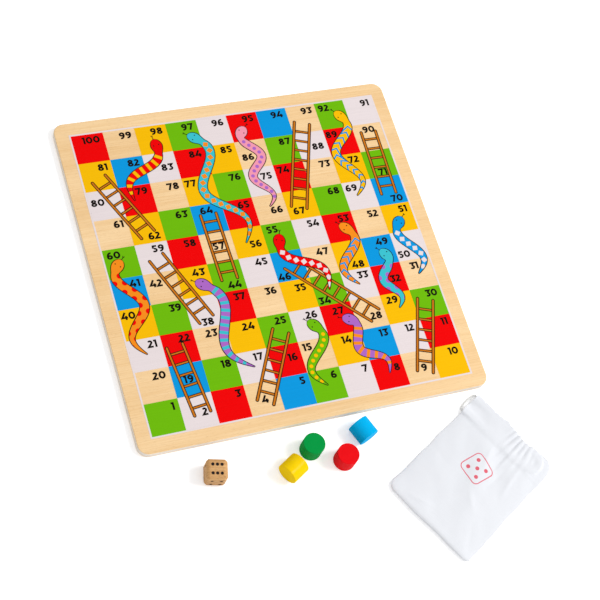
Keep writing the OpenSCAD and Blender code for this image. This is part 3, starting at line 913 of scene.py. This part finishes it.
        # Lengths over which the bottom's round fades, and the crown, the folds and the hem rise
        bottom_fade, crown_rise, fold_rise, hem_step = 0.02, 0.012, 0.008, 0.003
        bag = self.bag
        rounded = self.rounded(across)
        bottom = self.roll(x) * bag.bottom_rise / 2 * math.exp(-x / bottom_fade)
        height = self.seam_height(x, across) + bottom * rounded ** 0.3
        long_share = 0.6 + 0.4 * hump(x / self.length - 0.45)
        height += rounded * (1 - math.exp(-x / crown_rise)) * bag.crown * long_share
        folds = self.wrinkles(*plan) * bag.wrinkle + self.creases(*plan)
        height += rounded ** 0.6 * min(1.0, x / fold_rise) * folds
        into_hem = 1 - hump(max(0.0, x - self.length + self.hem + hem_step) / hem_step)
        height += into_hem * bag.cloth * rounded ** 0.5
        fold = math.cos(self.pleat_phase(x, across))
        height += self.pleat_fade(x, across) * (0.4 + fold) * bag.pleat
        # Room for the two cloths, and in the hem for the drawstring with the cloths round it
        floor = low + 2.2 * bag.cloth * rounded
        room = bag.cord_width + 5 * bag.cloth
        cord = low + self.over_cord(x, across) * room
        return smooth_greater(max(height, floor), cord, bag.cord_width / 2)

    def lower_height(self, x, across):
        """Height of the lower cloth, which lies on the table between the seams."""
        bottom_fade, side_power = 0.006, 14
        rise = self.seam_height(x, across) - self.bag.cloth
        bottom = math.exp(-x / bottom_fade) * (1 - self.roll(x) * 0.8)
        edge = max(abs(across) ** side_power, bottom)
        return self.bag.cloth + rise * edge

    def point(self, x, across, upper, inside=False):
        """A point of the upper or the lower cloth, or of the cloth turned in at the mouth,
        which lies over the drawstring."""
        plan = self.plan(x, across)
        low = self.lower_height(x, across)
        high = self.upper_height(x, across, plan, low)
        if inside:
            layers = min(2.4 * self.bag.cloth, (high - low) / 2)
            raised = self.over_cord(x, across) * self.bag.cord_width
            low, high = min(low + layers + raised, high - layers), high - layers
        return self.place @ Vector((*plan, high if upper else low))

    def hem_line(self, steps=160, end=0.95):
        """Points along the hem's row of stitches, on the upper cloth."""
        x = self.length - self.hem + self.bag.stitch_in
        return [self.point(x, end - 2 * end * i / steps, True) for i in range(steps + 1)]

    def spaced(self, share, crowding=1.3):
        """A place across the bag; they lie closer together at the side seams."""
        return math.sin(share * crowding) / math.sin(crowding)

    def stations(self, rows, inner_rows):
        """Rings of the cloth from the bottom edge to the mouth, and back inside the hem."""
        roll = self.bag.bottom_rise
        quarter = [roll * (1 - math.cos(math.radians(15 * i))) for i in range(6)]
        outer = [roll + (self.length - roll) * i / rows for i in range(rows + 1)]
        inner = [self.length - self.hem * (i + 0.4) / inner_rows for i in range(inner_rows)]
        return quarter + outer, inner

    def cord_route(self, turn_steps=18, run_steps=24):
        """The drawstring's middle line: two runs in the hem, joined in it and in a loop outside."""
        bag, middle, spread = self.bag, self.cord_middle, self.cord_spread
        rest = bag.cord_width / 2 + bag.cloth * 2.1
        table = bag.cord_width * 0.52
        half_turn = [math.pi * i / turn_steps for i in range(turn_steps + 1)]
        points = [
            (middle + spread * math.cos(turn), self.cord_turn_y - spread * math.sin(turn), rest)
            for turn in half_turn
        ]
        run = self.half_width - self.cord_turn_y
        inside = [self.cord_turn_y + run * i / run_steps for i in range(1, run_steps)]
        wander = [ripple(y * 60, 1.5, 2.5) * 0.0005 for y in inside]
        points += [(middle - spread + w, y, rest) for y, w in zip(inside, wander)]
        for turn in half_turn:
            out = math.sin(turn)
            points.append((
                middle - spread * math.cos(turn) * (1 + 0.06 * out),
                self.half_width + bag.cord_out * out ** 0.7,
                rest - (rest - table) * out ** 0.5,
            ))
        points += [(middle + spread - w, y, rest) for y, w in zip(inside[::-1], wander[::-1])]
        drawn = [Vector((self.drawn(x, y / self.half_width), 0, 0)) for x, y, _ in points]
        return [self.place @ (Vector(point) - shift) for point, shift in zip(points, drawn)]


def ripple(*place):
    """Smooth noise from -1 to 1."""
    return noise.noise(Vector(place))


def smooth_greater(first, second, blend):
    """The greater of two heights, with the step between them rounded off."""
    return (first + second + math.hypot(first - second, blend)) / 2


def hump(value):
    """A smooth hump: 1 at 0, and 0 from 1 outwards."""
    return math.cos(math.pi / 2 * min(abs(value), 1.0)) ** 2


def bag_mesh(form, rows=124, columns=120, inner_rows=12, lining_share=0.93):
    """The cloth: a tube that is closed at the bottom seam and turned in at the mouth."""
    mesh = bmesh.new()
    uv = mesh.loops.layers.uv.new("cloth")
    places = {}
    rings = []
    outer, inner = form.stations(rows, inner_rows)
    for index, x in enumerate(outer + inner):
        inside = index >= len(outer)
        ring = []
        for step in range(2 * columns):
            upper = step < columns
            turn = step if upper else 2 * columns - step
            across = form.spaced(1 - 2 * turn / columns)
            if inside:
                across *= lining_share
            vertex = mesh.verts.new(form.point(x, across, upper, inside))
            along = 2 * form.length - x if inside else x
            places[vertex] = Vector((along, across * form.half_width))
            ring.append(vertex)
        rings.append(ring)
    back_shift = Vector((0, 4 * form.half_width))
    for step, face in bridge(mesh, rings):
        for loop in face.loops:
            loop[uv].uv = places[loop.vert] + (step >= columns) * back_shift
    first = rings[0]
    pairs = {first[-step]: first[step] for step in range(1, columns)}
    for low, high in pairs.items():
        low.co = high.co = (low.co + high.co) / 2
    bmesh.ops.weld_verts(mesh, targetmap=pairs)
    return mesh_data("bag_cloth", mesh)


def cord_tree(strands):
    """Lays twisted strands round a closed curve."""
    tree = Generator("Twisted cord", Turns="Float", Strand="Float", Step="Float")
    curve = tree.add("GeometryNodeResampleCurve", {
        "Curve": tree.input("Geometry"), "Length": tree.input("Step"),
    }, mode="LENGTH")
    share = tree.add("GeometryNodeSplineParameter", output="Factor")
    tangent = tree.add("GeometryNodeInputTangent")
    normal = tree.add("GeometryNodeInputNormal")
    profile = tree.add("GeometryNodeCurvePrimitiveCircle", {
        "Resolution": 7, "Radius": tree.input("Strand"),
    })
    joined = tree.node("GeometryNodeJoinGeometry")
    for strand in range(strands):
        angle = (share * tree.input("Turns") + strand / strands) * (2 * math.pi)
        outward = tree.add("ShaderNodeVectorRotate", {
            "Vector": normal, "Axis": tangent, "Angle": angle,
        }, rotation_type="AXIS_ANGLE")
        offset = tree.add("ShaderNodeVectorMath", {
            0: outward, "Scale": tree.input("Strand") * STRAND_OUT,
        }, operation="SCALE")
        moved = tree.add("GeometryNodeSetPosition", {"Geometry": curve, "Offset": offset})
        tube = tree.add("GeometryNodeCurveToMesh", {"Curve": moved, "Profile Curve": profile})
        tree.feed(joined.inputs[0], tube)
    tree.end(Term(tree, joined.outputs[0]))
    return tree


def stitch_tree():
    """Lays stitches end to end along curves."""
    tree = Generator("Stitches", Stitch="Object", Pitch="Float")
    points = tree.add("GeometryNodeCurveToPoints", {
        "Curve": tree.input("Geometry"), "Length": tree.input("Pitch"),
    }, mode="LENGTH")
    stitch = tree.add("GeometryNodeObjectInfo", {"Object": tree.input("Stitch")}, "Geometry")
    tangent = {"Vector": points.output("Tangent")}
    turned = tree.add("FunctionNodeAlignRotationToVector", tangent, axis="X")
    tree.end(tree.add("GeometryNodeInstanceOnPoints", {
        "Points": points, "Instance": stitch, "Rotation": turned,
    }))
    return tree


def stitch_shape(length, width):
    """One stitch: a thread that dives into the cloth at both ends."""
    end, bend, middle = (0.35, 1.1), (0.85, 0.35), (1, 0)
    stations = zip((-1, -0.7, 0, 0.7, 1), (end, bend, middle, bend, end))
    angles = [math.pi * k / 3 for k in range(6)]
    mesh = bmesh.new()
    rings = [
        [
            mesh.verts.new((
                share * length / 2,
                math.cos(angle) * width / 2 * size,
                math.sin(angle) * width / 2 * size - drop * width / 2,
            ))
            for angle in angles
        ]
        for share, (size, drop) in stations
    ]
    bridge(mesh, rings)
    mesh.faces.new(rings[0])
    mesh.faces.new(reversed(rings[-1]))
    return mesh_data("stitch", mesh)


def line_curve(name, line, closed=False):
    """A curve object through the points of a line."""
    data = bpy.data.curves.new(name, "CURVE")
    data.dimensions = "3D"
    spline = data.splines.new("POLY")
    spline.points.add(len(line) - 1)
    for point, place in zip(spline.points, line):
        point.co = (*place, 1.0)
    spline.use_cyclic_u = closed
    return linked(name, data)


# Operators


class DressWood(bpy.types.Operator):
    """Give the five plies of the board their birch"""

    bl_idname = "board_game.dress_wood"
    bl_label = "Plywood"

    def execute(self, context):
        wood = context.scene.board_wood
        veneer = (wood.light, wood.dark)
        # The cross bands and the core take the rim colours, which hold painted bounce light as well
        # as the plies' pale edges
        crossband = (shade(wood.rim_light, 0.9), wood.rim_dark, math.pi / 2)
        plies = {
            "back_veneer": veneer,
            "lower_crossband": crossband,
            "core_ply": (wood.rim_light, wood.rim_dark),
            "upper_crossband": crossband,
            # The face veneer is painted pale below this height, as painted light on its rounded
            # edge
            "face_veneer": (*veneer, 0.0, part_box("face_veneer")[1].z - wood.sanding),
        }
        for node, settings in plies.items():
            give(node, birch(node, wood, *settings))
        return {"FINISHED"}


class DressPrint(bpy.types.Operator):
    """Give every film of ink its colour, over the grain of the veneer"""

    bl_idname = "board_game.dress_print"
    bl_label = "Inks"

    def execute(self, context):
        wood, inks = context.scene.board_wood, context.scene.board_print
        for ink in INKS:
            give(f"{ink}_ink", printed(f"{ink}_ink", wood, tuple(getattr(inks, ink))))
        return {"FINISHED"}


class PrintNumbers(bpy.types.Operator):
    """Print the numbers in the upper right of the squares"""

    bl_idname = "board_game.print_numbers"
    bl_label = "Numbers"

    def execute(self, context):
        sizes = context.scene.board_print
        low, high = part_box("red_ink")
        cell = (high.x - low.x) / sizes.columns
        half = sizes.stroke / 2
        widths, figures = zip(*figure_strokes(half))
        shelf = bpy.data.collections.new("figures")
        for digit, strokes in enumerate(figures):
            name = f"figure_{digit}"
            shape = figure_shape(name, strokes, half, sizes.film)
            shelf.objects.link(bpy.data.objects.new(name, shape))
        outlines = LineMap(frame["nodes"]["black_ink"], low, high)
        places = number_places(sizes, cell, low, widths, outlines)
        points = bpy.data.meshes.new("number_places")
        points.from_pydata([(x, y, high.z) for (x, y), _ in places], [], [])
        digits = points.attributes.new("digit", "INT", "POINT")
        digits.data.foreach_set("value", [digit for _, digit in places])
        material = printed("number_ink", context.scene.board_wood, tuple(sizes.black))
        numbers = number_tree().run("printed_numbers", linked("number_places", points), {
            "Figures": shelf, "Height": sizes.figure, "Width": sizes.figure * sizes.stretch,
            "Material": material,
        })
        for shape in list(shelf.objects):
            bpy.data.objects.remove(shape)
        bpy.data.collections.remove(shelf)
        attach(numbers, "board")
        return {"FINISHED"}


class DressPieces(bpy.types.Operator):
    """Give the die its beech and paint, and the counters their paint"""

    bl_idname = "board_game.dress_pieces"
    bl_label = "Die and counters"

    def execute(self, context):
        pieces = context.scene.board_pieces
        give("die_cube", beech("die_beech", pieces))
        give("die_pips", pip_paint("pip_paint", tuple(pieces.pip)))
        for colour, lying in COUNTERS.items():
            low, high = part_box(f"counter_{colour}")
            axis = int(high.x - low.x <= high.y - low.y) if lying else 2
            material = paint(f"{colour}_paint", tuple(getattr(pieces, colour)), axis)
            give(f"counter_{colour}", material)
        return {"FINISHED"}


class MakeBag(bpy.types.Operator):
    """Make the cotton bag with its hem and stitches"""

    bl_idname = "board_game.make_bag"
    bl_label = "Bag"

    def execute(self, context):
        bag = context.scene.board_bag
        form = BagForm(bag)
        cloth = linked("bag_cloth", bag_mesh(form))
        badge = Vector((form.length * bag.badge_along, form.half_width * bag.badge_across, 0))
        cloth.data.materials.append(cotton("cotton", bag, badge))
        wall = cloth.modifiers.new("Cloth", "SOLIDIFY")
        wall.thickness = bag.cloth
        wall.offset = -1
        wall.use_even_offset = False
        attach(cloth, "drawstring_bag")
        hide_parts("bag_back", "bag_front", "bag_hem")
        stitch = bpy.data.objects.new("stitch", stitch_shape(bag.stitch, bag.stitch_width))
        lines = line_curve("hem_lines", form.hem_line())
        thread = stitch_tree().run("hem_stitches", lines, {
            "Stitch": stitch, "Pitch": bag.stitch + bag.stitch_gap,
            "Material": spun("thread", tuple(bag.thread)),
        })
        bpy.data.objects.remove(stitch)
        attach(thread, "drawstring_bag")
        return {"FINISHED"}


class MakeDrawstring(bpy.types.Operator):
    """Make the twisted drawstring, a closed loop that runs in the hem"""

    bl_idname = "board_game.make_drawstring"
    bl_label = "Drawstring"

    def execute(self, context):
        bag = context.scene.board_bag
        route = BagForm(bag).cord_route()
        length = sum((b - a).length for a, b in zip(route, route[1:] + route[:1]))
        strand = bag.cord_width / (2 * (1 + STRAND_OUT))
        turns, steps_in_a_turn = float(round(length / bag.lay)), 9
        cord = cord_tree(bag.strands).run("drawstring", line_curve("route", route, True), {
            "Turns": turns, "Strand": strand, "Step": bag.lay / steps_in_a_turn,
            "Material": spun("cord", tuple(bag.cord)),
        })
        for face in cord.data.polygons:
            face.use_smooth = True
        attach(cord, "drawstring_bag")
        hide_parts("bag_drawstring")
        return {"FINISHED"}


class SetStage(bpy.types.Operator):
    """Lay the pale floor, hang the lamps and place the camera"""

    bl_idname = "board_game.set_stage"
    bl_label = "Stage"

    def execute(self, context):
        stage = context.scene.board_stage
        self.lay_floor(stage)
        self.light_world(context, stage)
        self.hang_lamp("key", stage.key, stage.lamp_size, place=(1.9, -0.55, 2.15))
        self.hang_lamp("fill", stage.fill, stage.lamp_size, place=(0.5, -1.9, 1.3))
        self.place_camera(context, stage)
        context.scene.view_settings.view_transform = "Standard"
        return {"FINISHED"}

    def lay_floor(self, stage):
        """A matt floor, which the camera sees a little lighter than it is, and white far off."""
        sides = ((-1, -1), (1, -1), (1, 1), (-1, 1))
        corners = [(x * stage.reach, y * stage.reach, 0.0) for x, y in sides]
        data = bpy.data.meshes.new("floor")
        data.from_pydata(corners, [], [(0, 1, 2, 3)])
        floor = linked("floor", data)
        finish = Finish("backdrop", {"Specular IOR Level": 0.0, "Roughness": 0.9})
        finish.feed_shader({"Base Color": (*stage.paper, 1.0)})
        seen = finish.add("ShaderNodeLightPath", output="Is Camera Ray")
        away = finish.add(
            "ShaderNodeVectorMath", {0: finish.place()}, "Value", operation="LENGTH"
        )
        near, far = (0.15, 0.62), (0.45, 1.0)
        share = finish.ramp(away * (1 / stage.reach), near, far)
        glow = finish.add("ShaderNodeEmission", {"Color": (1, 1, 1, 1), "Strength": 0.55})
        none = finish.add("ShaderNodeEmission", {"Strength": 0.0})
        lift = finish.add("ShaderNodeMixShader", {0: seen * share, 1: none, 2: glow})
        paper = Term(finish, finish.shader.outputs[0])
        total = finish.add("ShaderNodeAddShader", {0: paper, 1: lift})
        finish.feed(finish.tree.nodes["Material Output"].inputs["Surface"], total)
        data.materials.append(finish.material)

    def light_world(self, context, stage):
        """Even light; the camera and reflections see it as white."""
        world = bpy.data.worlds.new("studio")
        world.use_nodes = True
        context.scene.world = world
        tree = Tree(world.node_tree)
        tree.tree.nodes.clear()
        path = tree.add("ShaderNodeLightPath")
        seen = path.greater(path.output("Is Glossy Ray"))
        seen = seen.greater(path.output("Is Transmission Ray"))
        light, shown = (
            tree.add("ShaderNodeBackground", {"Color": (1, 1, 1, 1), "Strength": strength})
            for strength in (stage.sky, 1.0)
        )
        both = tree.add("ShaderNodeMixShader", {0: seen, 1: light, 2: shown})
        tree.node("ShaderNodeOutputWorld", {"Surface": both})

    def hang_lamp(self, name, power, size, place):
        """A square lamp that shines on the middle of the board."""
        data = bpy.data.lights.new(name, "AREA")
        data.energy = power
        data.size = size
        lamp = linked(name, data)
        lamp.location = place
        lamp.rotation_euler = (-Vector(place)).to_track_quat("-Z", "Y").to_euler()

    def place_camera(self, context, stage):
        """The camera, turned as the one that took the photograph stood to the board."""
        data = bpy.data.cameras.new("camera")
        data.sensor_width = 36.0
        data.lens = stage.lens
        data.clip_start = 0.01
        data.clip_end = 20.0
        camera = linked("camera", data)
        right = Vector((0.93164, -0.28615, 0.22397))
        down = Vector((-0.16767, -0.88534, -0.43366))
        view = Matrix((right, -down, right.cross(down) * -1)).transposed()
        camera.matrix_world = Matrix.Translation(stage.eye) @ view.to_4x4()
        context.scene.camera = camera


class BoardGamePanel(bpy.types.Panel):
    """Lists the operators that dress the set"""

    bl_idname = "VIEW3D_PT_board_game"
    bl_label = "Snakes and ladders"
    bl_space_type = "VIEW_3D"
    bl_region_type = "UI"
    bl_category = "Board game"

    def draw(self, context):
        for operator in OPERATORS:
            self.layout.operator(operator.bl_idname)
        for name, group in SETTINGS.items():
            box = self.layout.box()
            settings = getattr(context.scene, name)
            for key in group.__annotations__:
                box.prop(settings, key)


OPERATORS = (
    DressWood, DressPrint, PrintNumbers, DressPieces, MakeBag, MakeDrawstring, SetStage,
)


CLASSES = (*SETTINGS.values(), *OPERATORS, BoardGamePanel)


def register():
    for kind in CLASSES:
        bpy.utils.register_class(kind)
    for name, group in SETTINGS.items():
        setattr(bpy.types.Scene, name, PointerProperty(type=group))


def unregister():
    for name in SETTINGS:
        delattr(bpy.types.Scene, name)
    for kind in reversed(CLASSES):
        bpy.utils.unregister_class(kind)


def main():
    register()
    for operator in OPERATORS:
        area, _, action = operator.bl_idname.partition(".")
        getattr(getattr(bpy.ops, area), action)()


if __name__ == "__main__":
    main()
